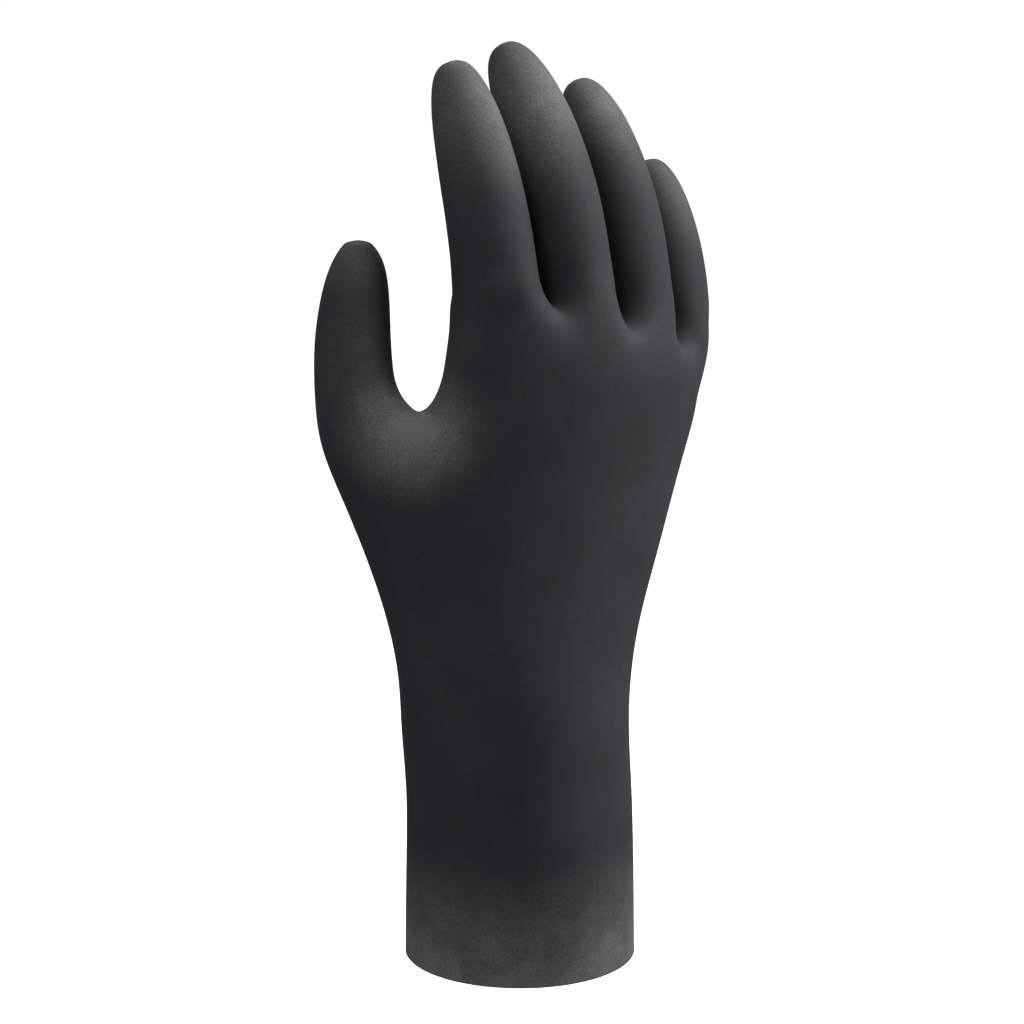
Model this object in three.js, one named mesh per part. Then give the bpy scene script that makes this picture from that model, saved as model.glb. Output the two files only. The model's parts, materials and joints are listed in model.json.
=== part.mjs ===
import * as THREE from 'three';

// A nitrile exam glove, right-hand form, kept in the shape that it has when it is worn.
// Millimetres and degrees. The middle of the cuff mouth is the origin and +Z runs up to the fingertips.
// +X is the little finger's side, -X the thumb's, -Y the back of the hand and +Y the palm.

// Named sizes
const GLOVE_LENGTH = 240;
const CUFF_BREADTH = 61.5;
const PALM_BREADTH = 81.5;
const PALM_DEPTH = 31;
const THUMB_BREADTH = 20;
const FILM_THICKNESS = 1;

// A finger is a little over a quarter as broad as the palm, so that the four stay clear of each other.
const FINGER_BREADTH = 0.2577 * PALM_BREADTH;

// Points in the ring of each part of the form
const ARM_SIDES = 24;
const DIGIT_SIDES = 8;

// Cuff and wrist, from the mouth up. Heights are shares of the glove's length, the rest are shares of the
// cuff's breadth.
const CUFF_SECTIONS = [
  { height: 0.00, breadth: 1.00, depth: 1.00, across: 0.00, palmward: 0.00 },
  { height: 0.02, breadth: 1.00, depth: 1.00, across: 0.00, palmward: 0.00 },
  { height: 0.10, breadth: 0.99, depth: 0.99, across: 0.00, palmward: 0.00 },
  { height: 0.19, breadth: 0.98, depth: 0.96, across: 0.00, palmward: 0.00 },
  { height: 0.27, breadth: 1.01, depth: 0.94, across: -0.02, palmward: 0.02 },
];

// Heel of the hand, up to the web of the thumb. Heights are shares of the glove's length, breadths and
// offsets of the palm's breadth, depths of the palm's depth. An oval's roundness is 1 and a squarer
// section's is less. The bow sets the middle of the hand back, the share of the thumb says how far that side
// is rounded into it, and the fan how far the points have turned towards their places in the palm.
const HEEL_SECTIONS = [
  {
    height: 0.36, breadth: 0.85, depth: 1.62, roundness: 1.00, across: 0.00, palmward: 0.01,
    bow: 0.02, thumb: 0.30, fan: 0.2,
  },
  {
    height: 0.44, breadth: 0.89, depth: 1.42, roundness: 0.95, across: 0.08, palmward: 0.00,
    bow: 0.04, thumb: 0.62, fan: 0.4,
  },
  {
    height: 0.52, breadth: 0.94, depth: 1.22, roundness: 0.90, across: 0.13, palmward: -0.02,
    bow: 0.06, thumb: 0.86, fan: 0.6,
  },
];

// The ring where the thumb parts from the palm
const THUMB_WEB = {
  height: 0.58, breadth: 0.98, depth: 1.07, roundness: 0.80, across: 0.17, palmward: -0.04,
  bow: 0.07, thumb: 1.00, fan: 0.8,
};

// How far the corners that the thumb and the palm share follow the round of the thumb
const THUMB_CORNER_SHARE = 0.4;

// The two ends of the thumb's web stand above that ring, and its middle higher still and nearer the thumb.
const THUMB_WEB_ENDS = { across: -0.06, palmward: 0.00, height: 0.016 };
const THUMB_WEB_PEAK = { across: -0.01, palmward: 0.06, height: 0.020 };

// Palm above the thumb's web. The slope lifts the little finger's side above the index finger's, the arch
// lifts the palm side above the back, the drop lowers the two outer sides, and the flare draws the thumb's
// side out into the web.
const PALM_SECTIONS = [
  {
    height: 0.630, breadth: 1.00, depth: 1.00, roundness: 0.74, across: 0.18, palmward: -0.050,
    bow: 0.080, slope: -0.04, arch: 0.01, drop: 0.02, flare: 0.040,
  },
  {
    height: 0.660, breadth: 1.01, depth: 0.95, roundness: 0.68, across: 0.19, palmward: -0.055,
    bow: 0.087, slope: -0.08, arch: 0.02, drop: 0.03, flare: 0.015,
  },
];

// The ring where the fingers part
const FINGER_WEB = {
  height: 0.705, breadth: 1.01, depth: 0.87, roundness: 0.58, across: 0.205, palmward: -0.05,
  bow: 0.095, slope: -0.15, arch: 0.04, drop: 0.08, flare: 0.00,
};

// Thumb, from the heel to the tip. Heights are shares of the glove's length, offsets of the palm's breadth,
// and breadths and depths of the thumb's breadth.
const THUMB_PATH = [
  { height: 0.300, across: -0.200, palmward: 0.000, breadth: 1.90, depth: 1.90 },
  { height: 0.440, across: -0.380, palmward: 0.110, breadth: 1.62, depth: 1.62 },
  { height: 0.580, across: -0.480, palmward: 0.180, breadth: 1.22, depth: 1.22 },
  { height: 0.634, across: -0.503, palmward: 0.199, breadth: 1.05, depth: 1.08 },
  { height: 0.668, across: -0.503, palmward: 0.209, breadth: 1.02, depth: 1.02 },
  { height: 0.700, across: -0.495, palmward: 0.220, breadth: 0.98, depth: 0.98 },
  { height: 0.742, across: -0.475, palmward: 0.230, breadth: 0.89, depth: 0.89 },
  { height: 0.774, across: -0.460, palmward: 0.235, breadth: 0.70, depth: 0.70 },
  { height: 0.792, across: -0.455, palmward: 0.240, breadth: 0.38, depth: 0.38 },
];

// Fingers. Lengths are shares of the glove's length, breadths of the finger breadth, and the taper is the
// share of its breadth that a finger loses by the tip. Across shifts it from the middle of its root, as a
// share of the finger breadth. The tilt is the angle from upright towards the palm at the root, the curl the
// angle gained by the tip, and the lean the angle towards the little finger's side.
const FINGERS = [
  {
    name: 'index_finger', length: 0.264, breadth: 1.04, taper: 0.07, across: 0.00,
    tilt: 8, curl: 17, lean: -1.5,
  },
  {
    name: 'middle_finger', length: 0.310, breadth: 1.03, taper: 0.00, across: 0.04,
    tilt: 5, curl: 36, lean: -0.5,
  },
  {
    name: 'ring_finger', length: 0.290, breadth: 1.00, taper: 0.02, across: 0.10,
    tilt: 4, curl: 36, lean: 1,
  },
  {
    name: 'little_finger', length: 0.225, breadth: 0.89, taper: 0.04, across: 0.06,
    tilt: 6, curl: 27, lean: 5,
  },
];

// Rings along a finger, at shares of its length. Breadths and depths are shares of its own breadth.
const FINGER_SECTIONS = [
  { along: 0.05, breadth: 1.02, depth: 1.13 },
  { along: 0.14, breadth: 1.00, depth: 1.00 },
  { along: 0.28, breadth: 1.00, depth: 1.02 },
  { along: 0.46, breadth: 0.99, depth: 1.03 },
  { along: 0.65, breadth: 0.93, depth: 0.95 },
  { along: 0.82, breadth: 0.80, depth: 0.82 },
  { along: 0.94, breadth: 0.58, depth: 0.58 },
  { along: 0.99, breadth: 0.30, depth: 0.30 },
];

// Angles at which the fingers part from each other, and the thumb from the palm
const ANGLE_OF_LITTLE_WEB = 60;
const ANGLE_OF_MIDDLE_WEB = 88;
const ANGLE_OF_INDEX_WEB = 117;
const ANGLE_OF_THUMB_WEB = 135;

// Angles of the palm's points, from the little finger's side over the palm to the thumb's side. The back of
// the hand mirrors them.
const PALM_ANGLES = [
  0, 20, 40, ANGLE_OF_LITTLE_WEB, 74, ANGLE_OF_MIDDLE_WEB, 102, ANGLE_OF_INDEX_WEB, 138, 159, 180,
];

// Where the arm's points go as they fan out into the palm's, from the little finger's side to the thumb's
const FANNED_ANGLES = [...PALM_ANGLES.slice(0, 10), 166, 173, 180];

// The film is one piece, but each hollow digit is a node of its own, so that it stays open in collision.
// The hand's node takes in the lowest rings of the digits, and with them the webs.
const FINGER_ROOT_RINGS = 2;
const THUMB_ROOT_RINGS = 1;

const { degToRad, lerp, inverseLerp } = THREE.MathUtils;

// Coarse cage that is rounded into the glove afterwards
const cage = { points: [], faces: [] };

function addPoint(point) {
  cage.points.push(point);
  return cage.points.length - 1;
}

function addMidpoint(first, second) {
  return addPoint(new THREE.Vector3().lerpVectors(cage.points[first], cage.points[second], 0.5));
}

function joinRings(lower, upper, node) {
  lower.forEach((corner, i) => {
    const next = (i + 1) % lower.length;
    cage.faces.push({ corners: [corner, lower[next], upper[next], upper[i]], node });
  });
}

// Rounding draws a ring of flat sides in, so each ring starts out larger by this much.
function swell(sides) {
  return 1 / Math.cos(Math.PI / sides);
}

// Thumb's centre and girths at a share of the glove's length
function thumbAt(height) {
  const upper = THUMB_PATH.findIndex((row) => row.height >= height);
  const to = THUMB_PATH[Math.max(upper, 1)];
  const from = THUMB_PATH[Math.max(upper, 1) - 1];
  const share = inverseLerp(from.height, to.height, height);
  const between = (column) => lerp(from[column], to[column], share);
  return {
    centre: new THREE.Vector3(
      between('across') * PALM_BREADTH,
      between('palmward') * PALM_BREADTH,
      height * GLOVE_LENGTH,
    ),
    breadth: between('breadth') * THUMB_BREADTH,
    depth: between('depth') * THUMB_BREADTH,
  };
}

// Point of a rounded section of the arm or the palm
function sectionPoint(size, section, angle) {
  const turn = degToRad(angle);
  const { roundness = 1, bow = 0 } = section;
  const outward = Math.sign(Math.sin(turn)) * Math.abs(Math.sin(turn)) ** roundness;
  const halfBreadth = (size.breadth * section.breadth * swell(ARM_SIDES)) / 2;
  const halfDepth = (size.depth * section.depth * swell(ARM_SIDES)) / 2;
  return new THREE.Vector3(
    size.offset * section.across + halfBreadth * Math.cos(turn),
    size.offset * (section.palmward - bow * Math.sin(turn) ** 2) + halfDepth * outward,
    GLOVE_LENGTH * section.height,
  );
}

const CUFF_SIZE = { breadth: CUFF_BREADTH, depth: CUFF_BREADTH, offset: CUFF_BREADTH };
const PALM_SIZE = { breadth: PALM_BREADTH, depth: PALM_DEPTH, offset: PALM_BREADTH };

function cuffRing(section) {
  return Array.from({ length: ARM_SIDES }, (_, i) => (
    addPoint(sectionPoint(CUFF_SIZE, section, (360 / ARM_SIDES) * i))
  ));
}

// On the back of the hand the stretched film spans a hollow instead of lying in it, so a point inside its
// neighbours is drawn out.
function pullTaut(points) {
  for (let pass = 0; pass < 10; pass += 1) {
    points.forEach((point, i) => {
      if (i < points.length / 2) {
        return;
      }
      const before = points[(i + points.length - 1) % points.length];
      const after = points[(i + 1) % points.length];
      const along = after.clone().sub(before);
      const inward = along.y * (point.x - before.x) - along.x * (point.y - before.y);
      if (inward < 0) {
        point.x = (before.x + after.x) / 2;
        point.y = (before.y + after.y) / 2;
      }
    });
  }
}

// Ring of the heel of the hand, whose thumb side bulges out into the root of the thumb
function heelRing(section) {
  const thumb = thumbAt(section.height);
  const points = Array.from({ length: ARM_SIDES }, (_, i) => {
    const angle = (360 / ARM_SIDES) * i;
    const fanned = i <= ARM_SIDES / 2 ? FANNED_ANGLES[i] : 360 - FANNED_ANGLES[ARM_SIDES - i];
    const point = sectionPoint(PALM_SIZE, section, lerp(angle, fanned, section.fan));
    const fromThumb = Math.abs(angle - 180);
    if (fromThumb <= 180 - ANGLE_OF_THUMB_WEB) {
      const thumbTurn = degToRad(180 + (angle - 180) * 3);
      const onThumb = thumb.centre.clone();
      onThumb.x += (thumb.breadth / 2) * swell(DIGIT_SIDES) * Math.cos(thumbTurn);
      onThumb.y += (thumb.depth / 2) * swell(DIGIT_SIDES) * Math.sin(thumbTurn);
      const shared = fromThumb === 180 - ANGLE_OF_THUMB_WEB;
      point.lerp(onThumb, section.thumb * (shared ? THUMB_CORNER_SHARE : 1));
    }
    return point;
  });
  pullTaut(points);
  return points.map(addPoint);
}

function palmRing(section) {
  const back = PALM_ANGLES.slice(1, -1).reverse().map((angle) => 360 - angle);
  return [...PALM_ANGLES, ...back].map((angle) => {
    const turn = degToRad(angle);
    const point = sectionPoint(PALM_SIZE, section, angle);
    point.z += PALM_BREADTH * (section.slope * Math.cos(turn) + section.arch * Math.sin(turn));
    point.z -= PALM_BREADTH * section.drop * Math.cos(turn) ** 4;
    point.x -= PALM_BREADTH * section.flare * Math.max(-Math.cos(turn), 0) ** 12;
    return addPoint(point);
  });
}

// Ring of a digit about its centre, square to its direction
function digitRing(centre, direction, breadth, depth, startAngle) {
  const across = new THREE.Vector3(1, 0, 0).addScaledVector(direction, -direction.x).normalize();
  const palmward = new THREE.Vector3().crossVectors(direction, across);
  return Array.from({ length: DIGIT_SIDES }, (_, i) => {
    const turn = degToRad(startAngle + (360 / DIGIT_SIDES) * i);
    const point = centre.clone();
    point.addScaledVector(across, (breadth / 2) * swell(DIGIT_SIDES) * Math.cos(turn));
    point.addScaledVector(palmward, (depth / 2) * swell(DIGIT_SIDES) * Math.sin(turn));
    return addPoint(point);
  });
}

function middleOf(ring) {
  const sum = new THREE.Vector3();
  ring.forEach((corner) => sum.add(cage.points[corner]));
  return sum.divideScalar(ring.length);
}

function buildFinger(finger, root, startAngle) {
  const length = finger.length * GLOVE_LENGTH;
  const centre = middleOf(root);
  centre.x += finger.across * FINGER_BREADTH;
  const lean = degToRad(finger.lean);
  let below = root;
  let reached = 0;
  FINGER_SECTIONS.forEach((section, i) => {
    const bend = degToRad(finger.tilt + (finger.curl * (reached + section.along)) / 2);
    const direction = new THREE.Vector3(
      Math.sin(lean),
      Math.cos(lean) * Math.sin(bend),
      Math.cos(lean) * Math.cos(bend),
    );
    centre.addScaledVector(direction, length * (section.along - reached));
    reached = section.along;
    const girth = FINGER_BREADTH * finger.breadth * (1 - finger.taper * section.along);
    const ring = digitRing(centre, direction, girth * section.breadth, girth * section.depth, startAngle);
    joinRings(below, ring, i < FINGER_ROOT_RINGS ? 'hand' : finger.name);
    below = ring;
  });
  cage.faces.push({ corners: below, node: finger.name });
}

function buildThumb(root, startAngle) {
  let below = root;
  THUMB_PATH.filter((row) => row.height > THUMB_WEB.height).forEach((row, i) => {
    const { centre, breadth, depth } = thumbAt(row.height);
    const direction = new THREE.Vector3(0, 0, 1);
    const ring = digitRing(centre, direction, breadth, depth, startAngle);
    joinRings(below, ring, i < THUMB_ROOT_RINGS ? 'hand' : 'thumb');
    below = ring;
  });
  cage.faces.push({ corners: below, node: 'thumb' });
}

function buildCage() {
  const rings = [
    ...CUFF_SECTIONS.map(cuffRing),
    ...HEEL_SECTIONS.map(heelRing),
    heelRing(THUMB_WEB),
  ];
  rings.slice(1).forEach((ring, i) => joinRings(rings[i], ring, 'hand'));

  // The thumb parts from the palm along a web of three points.
  const top = rings[rings.length - 1];
  const webOverPalm = (ANGLE_OF_THUMB_WEB * ARM_SIDES) / 360;
  const webOverBack = ARM_SIDES - webOverPalm;
  const shift = (corner, { across, palmward, height }) => cage.points[corner].add(new THREE.Vector3(
    across * PALM_BREADTH,
    palmward * PALM_BREADTH,
    height * GLOVE_LENGTH,
  ));
  shift(top[webOverPalm], THUMB_WEB_ENDS);
  shift(top[webOverBack], THUMB_WEB_ENDS);
  const thumbWeb = addMidpoint(top[webOverPalm], top[webOverBack]);
  shift(thumbWeb, THUMB_WEB_PEAK);
  buildThumb([...top.slice(webOverPalm, webOverBack + 1), thumbWeb], 45);

  let palm = [...top.slice(0, webOverPalm + 1), thumbWeb, ...top.slice(webOverBack)];
  [...PALM_SECTIONS, FINGER_WEB].forEach((section) => {
    const ring = palmRing(section);
    joinRings(palm, ring, 'hand');
    palm = ring;
  });

  // The fingers part from each other in the same way.
  const [toLittle, toMiddle, toIndex] = [ANGLE_OF_LITTLE_WEB, ANGLE_OF_MIDDLE_WEB, ANGLE_OF_INDEX_WEB]
    .map((angle) => PALM_ANGLES.indexOf(angle));
  const [littleWeb, middleWeb, indexWeb] = [toLittle, toMiddle, toIndex]
    .map((web) => addMidpoint(palm[web], palm[palm.length - web]));
  const overPalm = (from, to) => palm.slice(from, to + 1);
  const overBack = (from, to) => palm.slice(palm.length - from, palm.length - to + 1);
  const rootBetween = (from, fromWeb, to, toWeb) => (
    [...overBack(from, to), toWeb, ...overPalm(to, from), fromWeb]
  );
  const [index, middle, ring, little] = FINGERS;
  buildFinger(index, [...palm.slice(toIndex, palm.length - toIndex + 1), indexWeb], 45);
  buildFinger(middle, rootBetween(toIndex, indexWeb, toMiddle, middleWeb), 225);
  buildFinger(ring, rootBetween(toMiddle, middleWeb, toLittle, littleWeb), 225);
  buildFinger(little, [...palm.slice(-toLittle), ...palm.slice(0, toLittle + 1), littleWeb], 225);
}

// One round of Catmull-Clark smoothing of an open cage
function refine({ points, faces }) {
  const average = (list) => list
    .reduce((sum, point) => sum.add(point), new THREE.Vector3())
    .divideScalar(list.length);
  const faceCentres = faces.map(({ corners }) => average(corners.map((corner) => points[corner])));

  const edges = new Map();
  const keyOf = (a, b) => `${Math.min(a, b)}-${Math.max(a, b)}`;
  faces.forEach(({ corners }, f) => corners.forEach((corner, i) => {
    const next = corners[(i + 1) % corners.length];
    const key = keyOf(corner, next);
    if (!edges.has(key)) {
      edges.set(key, { ends: [corner, next], centres: [] });
    }
    edges.get(key).centres.push(faceCentres[f]);
  }));

  const edgesAt = points.map(() => []);
  edges.forEach((edge) => edge.ends.forEach((corner) => edgesAt[corner].push(edge)));
  const facesAt = points.map(() => []);
  faces.forEach(({ corners }, f) => corners.forEach((corner) => facesAt[corner].push(faceCentres[f])));

  const moved = points.map((point, corner) => {
    const middleOfEdge = (edge) => average(edge.ends.map((end) => points[end]));
    const border = edgesAt[corner].filter((edge) => edge.centres.length === 1);
    if (border.length) {
      return average(border.map(middleOfEdge)).lerp(point, 0.75);
    }
    const count = edgesAt[corner].length;
    return average(facesAt[corner])
      .add(average(edgesAt[corner].map(middleOfEdge)).multiplyScalar(2))
      .addScaledVector(point, count - 3)
      .divideScalar(count);
  });

  const result = { points: [...moved, ...faceCentres], faces: [] };
  edges.forEach((edge) => {
    const ends = edge.ends.map((corner) => points[corner]);
    const onBorder = edge.centres.length === 1;
    edge.middle = result.points.push(average(onBorder ? ends : [...ends, ...edge.centres])) - 1;
  });
  faces.forEach(({ corners, node }, f) => corners.forEach((corner, i) => {
    const next = corners[(i + 1) % corners.length];
    const previous = corners[(i + corners.length - 1) % corners.length];
    const quarter = [
      corner,
      edges.get(keyOf(corner, next)).middle,
      points.length + f,
      edges.get(keyOf(previous, corner)).middle,
    ];
    result.faces.push({ corners: quarter, node });
  }));
  return result;
}

// Each quad is split along its shorter diagonal.
function trianglesOf(faces, points) {
  return faces.flatMap(({ corners: [a, b, c, d] }) => (
    points[a].distanceTo(points[c]) < points[b].distanceTo(points[d])
      ? [a, b, c, a, c, d]
      : [a, b, d, b, c, d]
  ));
}

// The inner surface is the outer one moved in by the film's thickness. The cuff's rim stays level.
function innerPoints({ points, faces }) {
  const surface = new THREE.BufferGeometry().setFromPoints(points);
  surface.setIndex(trianglesOf(faces, points));
  surface.computeVertexNormals();
  const normals = surface.getAttribute('normal');
  return points.map((point, i) => {
    const inner = point.clone();
    inner.addScaledVector(new THREE.Vector3().fromBufferAttribute(normals, i), -FILM_THICKNESS);
    if (point.z === 0) {
      inner.z = 0;
    }
    return inner;
  });
}

// One node of the film: its outer and inner faces, with a wall between them at every open edge. The order of
// an edge's ends picks the wall's diagonal, so two neighbours split the wall that they share alike.
function filmGeometry(faces, points, inner) {
  const depth = points.length;
  const triangles = trianglesOf(faces, points);
  const index = [...triangles];
  for (let i = 0; i < triangles.length; i += 3) {
    index.push(triangles[i] + depth, triangles[i + 2] + depth, triangles[i + 1] + depth);
  }

  const sides = faces.flatMap(({ corners }) => (
    corners.map((corner, i) => [corner, corners[(i + 1) % corners.length]])
  ));
  const used = new Set(sides.map(([from, to]) => `${from}-${to}`));
  sides.filter(([from, to]) => !used.has(`${to}-${from}`)).forEach(([from, to]) => {
    if (from < to) {
      index.push(from, from + depth, to + depth, from, to + depth, to);
    } else {
      index.push(from, from + depth, to, from + depth, to + depth, to);
    }
  });

  const film = new THREE.BufferGeometry().setFromPoints([...points, ...inner]);
  film.setIndex(index);
  film.computeVertexNormals();
  return film.toNonIndexed();
}

buildCage();
const surface = refine(cage);
const inner = innerPoints(surface);
const nitrile = new THREE.MeshStandardMaterial({ name: 'nitrile', color: 0x2b2e30, roughness: 0.6 });

const glove = new THREE.Group();
glove.name = 'nitrile_exam_glove';
['hand', 'thumb', ...FINGERS.map(({ name }) => name)].forEach((node) => {
  const faces = surface.faces.filter((face) => face.node === node);
  const film = new THREE.Mesh(filmGeometry(faces, surface.points, inner), nitrile);
  film.name = node;
  glove.add(film);
});

export default glove;
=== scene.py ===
import json
import math

import bmesh
import bpy
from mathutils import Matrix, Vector

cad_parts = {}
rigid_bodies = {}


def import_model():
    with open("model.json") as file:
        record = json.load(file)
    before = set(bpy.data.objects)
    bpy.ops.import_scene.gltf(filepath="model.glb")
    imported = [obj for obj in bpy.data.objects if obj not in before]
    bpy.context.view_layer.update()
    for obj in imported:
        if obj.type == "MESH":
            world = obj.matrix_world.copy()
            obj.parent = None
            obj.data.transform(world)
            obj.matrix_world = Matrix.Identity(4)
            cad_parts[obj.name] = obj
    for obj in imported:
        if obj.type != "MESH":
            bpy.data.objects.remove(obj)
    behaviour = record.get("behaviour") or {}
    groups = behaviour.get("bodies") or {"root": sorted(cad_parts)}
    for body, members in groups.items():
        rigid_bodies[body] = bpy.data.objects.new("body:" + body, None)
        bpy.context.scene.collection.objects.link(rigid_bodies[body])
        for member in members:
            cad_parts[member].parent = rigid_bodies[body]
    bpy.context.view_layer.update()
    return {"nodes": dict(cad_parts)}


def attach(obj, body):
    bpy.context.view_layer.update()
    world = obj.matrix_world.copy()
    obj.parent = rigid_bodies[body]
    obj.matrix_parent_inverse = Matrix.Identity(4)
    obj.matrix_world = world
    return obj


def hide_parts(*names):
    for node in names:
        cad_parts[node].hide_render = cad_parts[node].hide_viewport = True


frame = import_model()


# Glove film
# One seamless film of nitrile rubber, made by dipping a former shaped like a hand. Worn, it stretches
# smooth over the hand and keeps only small folds under the webs of the fingers. The cuff is cut plain.
FILM_NODES = ["hand", "thumb", "index_finger", "middle_finger", "ring_finger", "little_finger"]
SAME_PLACE = 1e-6
FACES_OF_A_PLAIN_EDGE = 2
FLAT_ENOUGH = math.radians(60)
SMOOTHING_SHARE = 0.5
SMOOTHING_ROUNDS = 4
SUBDIVISIONS = 2
SHARP_FROM = math.radians(60)

# The real film is about 0.1 mm thick. It is shown thicker, so that the cut edge of the cuff has a breadth.
FILM_SHOWN = 0.0004
INWARDS = -1

# Places that are smoother than in the solid: the webs, and the sides of the hand under its outer fingers
SOFTENED_PLACES = [
    {"name": "index_web", "at": (-0.0021, -0.0102, 0.1745), "reach": 0.012},
    {"name": "middle_web", "at": (0.0181, -0.0118, 0.1688), "reach": 0.012},
    {"name": "little_web", "at": (0.0375, -0.0099, 0.1627), "reach": 0.011},
    {"name": "index_side", "at": (-0.0200, -0.0060, 0.1770), "reach": 0.014},
    {"name": "little_side", "at": (0.0575, -0.0080, 0.1540), "reach": 0.015},
    {"name": "thumb_web", "at": (-0.0205, 0.0020, 0.1430), "reach": 0.014},
]

# Places that are moved out from the solid: the thumb's tip, which is rounder, and the side of the hand
# under the index finger, which runs straight up into it
RAISED_PLACES = [
    {"name": "thumb_tip", "at": (-0.0371, 0.0196, 0.1900), "reach": 0.0060, "push": (0, 0, 0.0015)},
    {"name": "index_side", "at": (-0.0200, -0.0050, 0.1800), "reach": 0.0150, "push": (-0.0012, 0.0010, 0)},
]

bpy.ops.object.select_all(action="DESELECT")
for name in FILM_NODES:
    part = bpy.data.objects.new("film_" + name, frame["nodes"][name].data.copy())
    bpy.context.collection.objects.link(part)
    part.select_set(True)
    bpy.context.view_layer.objects.active = part
bpy.ops.object.join()
glove = bpy.context.object
glove.name = "glove_film"

# The nodes of the film are merged. The walls between them go, then the rim, which parts the outer skin from
# the inner one, and then the inner skin.
bpy.ops.object.mode_set(mode="EDIT")
bpy.ops.mesh.select_all(action="SELECT")
bpy.ops.mesh.remove_doubles(threshold=SAME_PLACE)
form = bmesh.from_edit_mesh(glove.data)
crowded = set()
for edge in form.edges:
    if len(edge.link_faces) > FACES_OF_A_PLAIN_EDGE:
        crowded.update(edge.verts)
walls = [face for face in form.faces if all(corner in crowded for corner in face.verts)]
bmesh.ops.delete(form, geom=walls, context="FACES")
rim = [face for face in form.faces if all(abs(corner.co.z) < SAME_PLACE for corner in face.verts)]
bmesh.ops.delete(form, geom=rim, context="FACES")
bpy.ops.mesh.select_all(action="DESELECT")
max(form.verts, key=lambda corner: corner.co.z).select_set(True)
bmesh.update_edit_mesh(glove.data)
bpy.ops.mesh.select_linked()
bpy.ops.mesh.select_all(action="INVERT")
bpy.ops.mesh.delete(type="VERT")
bpy.ops.mesh.select_all(action="SELECT")
bpy.ops.mesh.tris_convert_to_quads(face_threshold=FLAT_ENOUGH, shape_threshold=FLAT_ENOUGH)

# The places of the two tables are softened and moved out.
bpy.ops.mesh.select_all(action="DESELECT")
form = bmesh.from_edit_mesh(glove.data)
for corner in form.verts:
    if any((corner.co - Vector(row["at"])).length < row["reach"] for row in SOFTENED_PLACES):
        corner.select_set(True)
bmesh.update_edit_mesh(glove.data)
bpy.ops.mesh.vertices_smooth(factor=SMOOTHING_SHARE, repeat=SMOOTHING_ROUNDS)
form = bmesh.from_edit_mesh(glove.data)
for row in RAISED_PLACES:
    for corner in form.verts:
        away = (corner.co - Vector(row["at"])).length / row["reach"]
        if away < 1:
            corner.co += Vector(row["push"]) * (1 - away ** 2)
bmesh.update_edit_mesh(glove.data)
bpy.ops.object.mode_set(mode="OBJECT")

smoothing = glove.modifiers.new("smoothing", "SUBSURF")
smoothing.levels = SUBDIVISIONS
smoothing.render_levels = SUBDIVISIONS
bpy.ops.object.modifier_apply(modifier=smoothing.name)
walling = glove.modifiers.new("walling", "SOLIDIFY")
walling.thickness = FILM_SHOWN
walling.offset = INWARDS
bpy.ops.object.modifier_apply(modifier=walling.name)
bpy.ops.object.shade_smooth_by_angle(angle=SHARP_FROM)


class Socket:
    """A shader socket that takes part in Python expressions on values."""

    def __init__(self, tree, output):
        self.tree = tree
        self.output = output

    def node(self, kind, settings=None, **inputs):
        """Adds a node with its settings, then the values or links of its inputs, and returns it.

        An input is given by its name, with _ for a space, or by its number, as in input0."""
        made = self.tree.nodes.new(kind)
        for name, value in (settings or {}).items():
            setattr(made, name, value)
        for name, value in inputs.items():
            numbered = name.startswith("input")
            wanted = int(name.removeprefix("input")) if numbered else name.replace("_", " ")
            if isinstance(value, Socket):
                self.tree.links.new(value.output, made.inputs[wanted])
            else:
                made.inputs[wanted].default_value = value
        return made

    def out(self, made, name=0):
        return Socket(self.tree, made.outputs[name])

    def arithmetic(self, operation, first, second):
        return self.out(self.node("ShaderNodeMath", {"operation": operation}, input0=first, input1=second))

    def __add__(self, other):
        return self.arithmetic("ADD", self, other)

    def __sub__(self, other):
        return self.arithmetic("SUBTRACT", self, other)

    def __mul__(self, other):
        return self.arithmetic("MULTIPLY", self, other)

    def __radd__(self, other):
        return self.arithmetic("ADD", other, self)

    def __rsub__(self, other):
        return self.arithmetic("SUBTRACT", other, self)

    def __rmul__(self, other):
        return self.arithmetic("MULTIPLY", other, self)

    def between(self, low, high):
        """0 below low, 1 above high, smooth from one to the other"""
        smooth = {"interpolation_type": "SMOOTHSTEP"}
        return self.out(self.node("ShaderNodeMapRange", smooth, Value=self, From_Min=low, From_Max=high))


nitrile = bpy.data.materials.new("nitrile")
nitrile.use_nodes = True
tree = nitrile.node_tree
shader = tree.nodes["Principled BSDF"]
place = Socket(tree, tree.nodes.new("ShaderNodeTexCoord").outputs["Object"])
height = place.out(place.node("ShaderNodeSeparateXYZ", Vector=place), "Z")


def noise(scale, detail, roughness=0.5):
    made = place.node("ShaderNodeTexNoise", Vector=place, Scale=scale, Detail=detail, Roughness=roughness)
    return place.out(made, "Fac")


def nearness(row):
    """1 at the place of the row, falling smoothly to 0 at its reach"""
    away = place.node("ShaderNodeVectorMath", {"operation": "DISTANCE"}, input0=place, input1=row["at"])
    return 1 - place.out(away, "Value").between(0.0, row["reach"])


# Patterns of the film, from the finest to the broadest
grain = noise(scale=2100, detail=2)
speckle = noise(scale=700, detail=3)
cloud = noise(scale=120, detail=4, roughness=0.6)
drift = noise(scale=45, detail=3)

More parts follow.
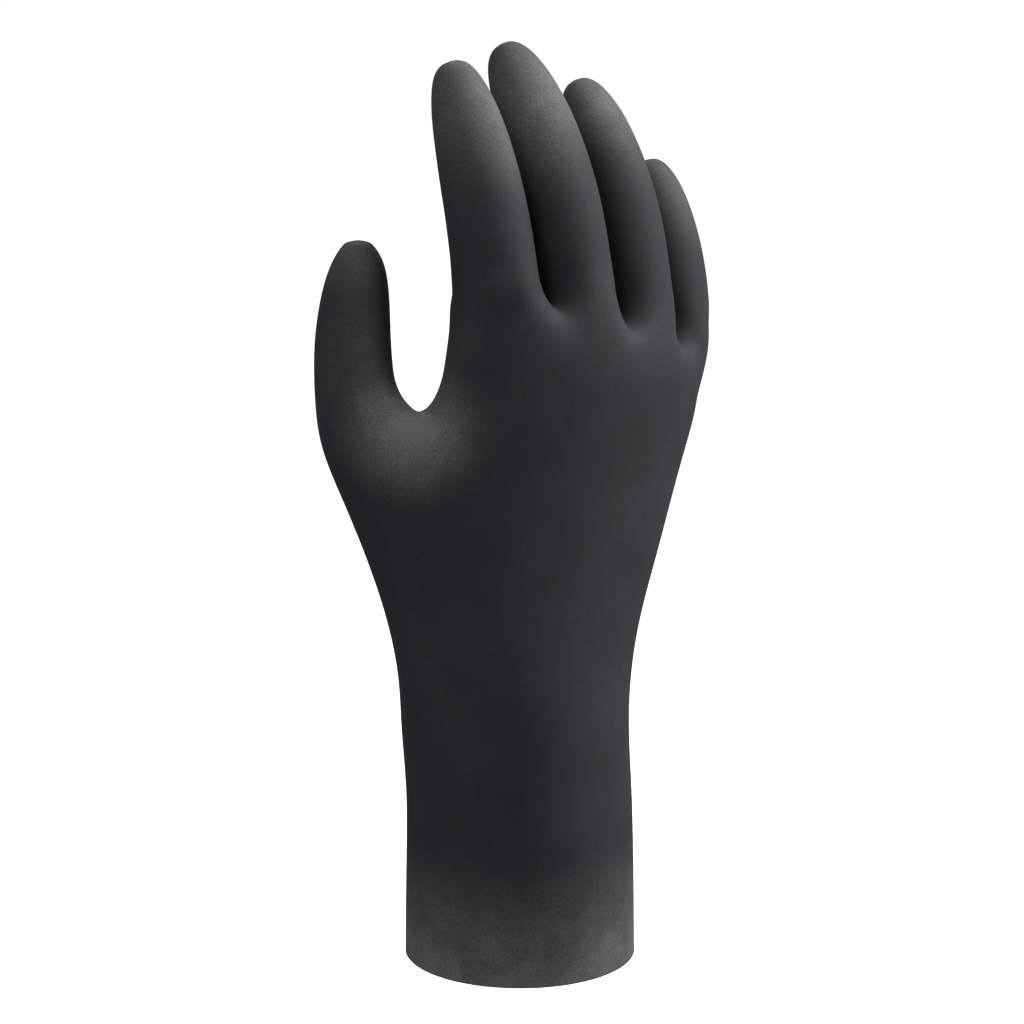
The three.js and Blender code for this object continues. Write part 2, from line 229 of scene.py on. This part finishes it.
# Charcoal film, paler near the edge of the cuff, with painted highlights on the fingertips, down the thumb
# and on its web, and a faint painted top light that lightens the fingers towards their tips
DARK_FILM = (0.0225, 0.0245, 0.0255, 1)
PALE_AND_HIGHLIGHT_FILM = (0.1620, 0.1550, 0.1600, 1)
# Painted highlights: each place lightens the film towards the pale colour by its share
PAINTED_HIGHLIGHTS = [
    {"name": "thumb_tip", "at": (-0.044, 0.012, 0.193), "reach": 0.020, "share": 0.35},
    {"name": "thumb_side", "at": (-0.048, 0.000, 0.165), "reach": 0.026, "share": 0.25},
    {"name": "thumb_web", "at": (-0.037, -0.002, 0.145), "reach": 0.022, "share": 1.00},
    {"name": "palm_edge", "at": (-0.014, -0.004, 0.150), "reach": 0.016, "share": 0.35},
    {"name": "index_tip", "at": (-0.006, -0.005, 0.228), "reach": 0.032, "share": 0.68},
    {"name": "middle_tip", "at": (0.020, -0.003, 0.231), "reach": 0.023, "share": 0.60},
    {"name": "ring_tip", "at": (0.036, 0.000, 0.220), "reach": 0.024, "share": 0.36},
    {"name": "little_tip", "at": (0.056, 0.002, 0.200), "reach": 0.022, "share": 0.28},
]
CUFF_SHARE = 0.95
CUFF_FADE = (-0.010, 0.038)
CUFF_CLOUD_LEAST = 0.6
CUFF_CLOUD_GAIN = 0.8
# Painted top light: the fingers are lighter towards their tips
FINGER_TOP_LIGHT_SHARE = 0.03
FINGER_TOP_LIGHT_FADE = (0.175, 0.220)
DRIFT_SHARE = 0.07
DRIFT_FADE = (0.35, 0.75)
CLOUD_LEAST = 0.5
GRAIN_MIDDLE = 0.5
GRAIN_GAIN = 1.7
SPECK_SHARE = 0.10
SPECK_MIDDLE = 0.45

cuff_clouds = CUFF_CLOUD_LEAST + CUFF_CLOUD_GAIN * cloud
pale_and_highlight = CUFF_SHARE * (1 - height.between(*CUFF_FADE)) * cuff_clouds
# Painted top light on the upper fingers
pale_and_highlight = pale_and_highlight + FINGER_TOP_LIGHT_SHARE * height.between(*FINGER_TOP_LIGHT_FADE)
# Painted highlights on the fingertips, the thumb and its web
for row in PAINTED_HIGHLIGHTS:
    pale_and_highlight = pale_and_highlight + row["share"] * nearness(row)
pale_and_highlight = pale_and_highlight + DRIFT_SHARE * drift.between(*DRIFT_FADE)
pale_and_highlight = pale_and_highlight * (CLOUD_LEAST + cloud) * (1 + GRAIN_GAIN * (grain - GRAIN_MIDDLE))
pale_and_highlight = pale_and_highlight + SPECK_SHARE * (grain - SPECK_MIDDLE)
# Dark and pale film mixed; the pale share holds the paler cuff edge and the painted highlights
tone_and_highlight = place.node("ShaderNodeMix", {"data_type": "RGBA"}, Factor=pale_and_highlight, A=DARK_FILM, B=PALE_AND_HIGHLIGHT_FILM)
tree.links.new(tone_and_highlight.outputs["Result"], shader.inputs["Base Color"])

# Matte, with a weak gloss that the speckle breaks up
LEAST_ROUGH = 0.70
SPECKLE_ROUGH = 0.14
rough = LEAST_ROUGH + SPECKLE_ROUGH * speckle
tree.links.new(rough.output, shader.inputs["Roughness"])
shader.inputs["IOR"].default_value = 1.48
shader.inputs["Specular IOR Level"].default_value = 0.42

# Small folds that the pull of the webs leaves under them, and finer ones on the middle finger's bent tip
FOLDS = [
    {"name": "index_web", "at": (-0.0060, -0.0160, 0.1690), "reach": 0.0080, "deep": 0.00022},
    {"name": "middle_web", "at": (0.0140, -0.0180, 0.1630), "reach": 0.0080, "deep": 0.00022},
    {"name": "little_web", "at": (0.0340, -0.0160, 0.1560), "reach": 0.0080, "deep": 0.00022},
    {"name": "middle_tip", "at": (0.0100, 0.0020, 0.2240), "reach": 0.0100, "deep": 0.00008},
]
GRAIN_DEEP = 0.00002
SPECKLE_DEEP = 0.00003

waves = place.node(
    "ShaderNodeTexWave",
    {"wave_type": "BANDS", "bands_direction": "X"},
    Vector=place, Scale=110, Distortion=5, Detail=2, Detail_Scale=0.8,
)
relief = GRAIN_DEEP * grain + SPECKLE_DEEP * speckle
for row in FOLDS:
    relief = relief + row["deep"] * place.out(waves, "Fac") * nearness(row)
bump = place.node("ShaderNodeBump", Height=relief, Strength=0.6, Distance=1.0)
tree.links.new(bump.outputs["Normal"], shader.inputs["Normal"])

glove.data.materials.clear()
glove.data.materials.append(nitrile)
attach(glove, "root")
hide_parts(*FILM_NODES)


# Floor
# Plain white and well below the glove, which is held up by what it is worn on. It throws no light on the
# glove and isn't reflected in it, but it screens the greater part of the two low lights.
FLOOR_DROP = 0.12
FLOOR_SIZE = 8

bpy.ops.object.select_all(action="DESELECT")
bpy.ops.mesh.primitive_plane_add(size=FLOOR_SIZE, location=(0, 0, -FLOOR_DROP))
floor = bpy.context.object
floor.name = "floor"
white = bpy.data.materials.new("floor_white")
white.use_nodes = True
paper = white.node_tree.nodes["Principled BSDF"]
paper.inputs["Base Color"].default_value = (0.9, 0.9, 0.9, 1)
paper.inputs["Roughness"].default_value = 0.9
paper.inputs["Emission Color"].default_value = (1, 1, 1, 1)
paper.inputs["Emission Strength"].default_value = 1.0
floor.data.materials.append(white)
floor.visible_diffuse = False
floor.visible_glossy = False


# Studio light
# A white surround that the camera sees, a dim one that lights the glove and is reflected in it, and large
# soft lights, of which the strongest is high on the right.
studio = bpy.data.worlds.new("studio")
bpy.context.scene.world = studio
studio.use_nodes = True
surround = studio.node_tree
surround.nodes.clear()
seen = Socket(surround, surround.nodes.new("ShaderNodeLightPath").outputs["Is Camera Ray"])
dim_sky = seen.out(seen.node("ShaderNodeBackground", Color=(0.97, 1.0, 1.03, 1), Strength=0.17))
white_sky = seen.out(seen.node("ShaderNodeBackground", Color=(1, 1, 1, 1), Strength=1.0))
sky = seen.out(seen.node("ShaderNodeMixShader", Fac=seen, input1=dim_sky, input2=white_sky))
seen.node("ShaderNodeOutputWorld", Surface=sky)

# The lights stand round the palm and face it. Their directions are degrees round from the camera's line,
# to its right, and degrees up.
AIM = Vector((0, 0, 0.14))
LIGHT_FAR = 0.9
SOFT_LIGHTS = [
    {"name": "right_high", "round": 92, "up": 44, "size": 0.45, "watts": 8.8},
    {"name": "left_high", "round": -45, "up": 50, "size": 0.6, "watts": 2.2},
    {"name": "right_back", "round": 112, "up": 15, "size": 0.6, "watts": 1.6},
    {"name": "right_low", "round": 70, "up": -25, "size": 0.6, "watts": 1.1},
    {"name": "left_low", "round": -35, "up": -25, "size": 0.6, "watts": 1.3},
    {"name": "behind", "round": 180, "up": 60, "size": 0.6, "watts": 3.0},
]
CAMERA_AZIMUTH = -40.0


def direction(azimuth, elevation):
    """Unit vector from the glove to a place round it. Azimuth 0 looks along +Y."""
    a = math.radians(azimuth)
    e = math.radians(elevation)
    return Vector((math.sin(a) * math.cos(e), -math.cos(a) * math.cos(e), math.sin(e)))


for row in SOFT_LIGHTS:
    lamp = bpy.data.lights.new(row["name"], "AREA")
    lamp.shape = "DISK"
    lamp.size = row["size"]
    lamp.energy = row["watts"]
    light = bpy.data.objects.new(row["name"], lamp)
    bpy.context.collection.objects.link(light)
    towards = direction(CAMERA_AZIMUTH + row["round"], row["up"])
    light.location = AIM + towards * LIGHT_FAR
    light.rotation_euler = towards.to_track_quat("Z", "Y").to_euler()
    light.visible_camera = False


# Camera
# A long lens that looks a little down at the back of the hand. Its distance and tilt were fitted to the
# outline in the photograph.
CAMERA_ELEVATION = 11.2
CAMERA_DISTANCE = 0.741
CAMERA_HEIGHT = 0.1193
CAMERA_ASIDE = -0.0021

sight = bpy.data.cameras.new("camera")
sight.lens = 100
sight.sensor_width = 36
camera = bpy.data.objects.new("camera", sight)
bpy.context.collection.objects.link(camera)
back = direction(CAMERA_AZIMUTH, CAMERA_ELEVATION)
aside = direction(CAMERA_AZIMUTH + 90, 0)
target = Vector((0, 0, CAMERA_HEIGHT)) + aside * CAMERA_ASIDE
camera.location = target + back * CAMERA_DISTANCE
camera.rotation_euler = back.to_track_quat("Z", "Y").to_euler()
bpy.context.scene.camera = camera

# Colours are shown as they are, with no film look.
bpy.context.scene.view_settings.view_transform = "Standard"
bpy.context.scene.view_settings.look = "None"
